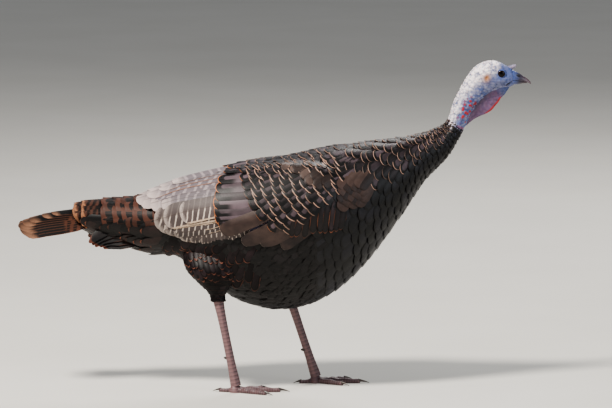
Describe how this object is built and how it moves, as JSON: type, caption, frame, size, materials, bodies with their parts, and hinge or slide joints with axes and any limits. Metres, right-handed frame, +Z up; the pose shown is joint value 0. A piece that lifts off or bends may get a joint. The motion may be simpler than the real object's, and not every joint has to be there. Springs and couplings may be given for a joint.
{
  "type": "wild turkey",
  "caption": "Life-size wild turkey, a first-year male, walking with its neck stretched forward, wings folded and tail held low.",
  "frame": {"origin": "on the floor, in the middle of the bird's length and width", "axes": "+X towards the bill, +Y to the bird's left, +Z up"},
  "size_m": [0.951, 0.246, 0.6093],
  "materials": {
    "plumage": "dark brown-black feathers with a faint bronze and purple sheen",
    "wing": "grey-brown wing feathers with pale edges",
    "coverts": "chestnut feathers with black bars",
    "tail": "brown tail feathers with a black band and buff tips",
    "bare_skin": "pale blue-grey warty bare skin",
    "wattle": "soft pink and red bare skin",
    "horn": "satin horn",
    "eye": "wet gloss",
    "scales": "satin scaled skin",
    "claw": "satin horn"
  },
  "bodies": {
    "root": {"trunk": "plumage", "tail_coverts": "coverts", "tail": "tail", "neck_feathered": "plumage", "neck_bare": "bare_skin", "head": "bare_skin", "bill_upper": "horn", "bill_lower": "horn", "snood": "wattle", "wattle": "wattle", "eye_right": "eye", "wing_right": "wing", "thigh_right": "plumage", "shank_right": "scales", "spur_right": "claw", "foot_right": "scales", "toe_inner_right": "scales", "claw_inner_right": "claw", "toe_middle_right": "scales", "claw_middle_right": "claw", "toe_outer_right": "scales", "claw_outer_right": "claw", "toe_hind_right": "scales", "claw_hind_right": "claw", "eye_left": "eye", "wing_left": "wing", "thigh_left": "plumage", "shank_left": "scales", "spur_left": "claw", "foot_left": "scales", "toe_inner_left": "scales", "claw_inner_left": "claw", "toe_middle_left": "scales", "claw_middle_left": "claw", "toe_outer_left": "scales", "claw_outer_left": "claw", "toe_hind_left": "scales", "claw_hind_left": "claw"}
  },
  "joints": []
}
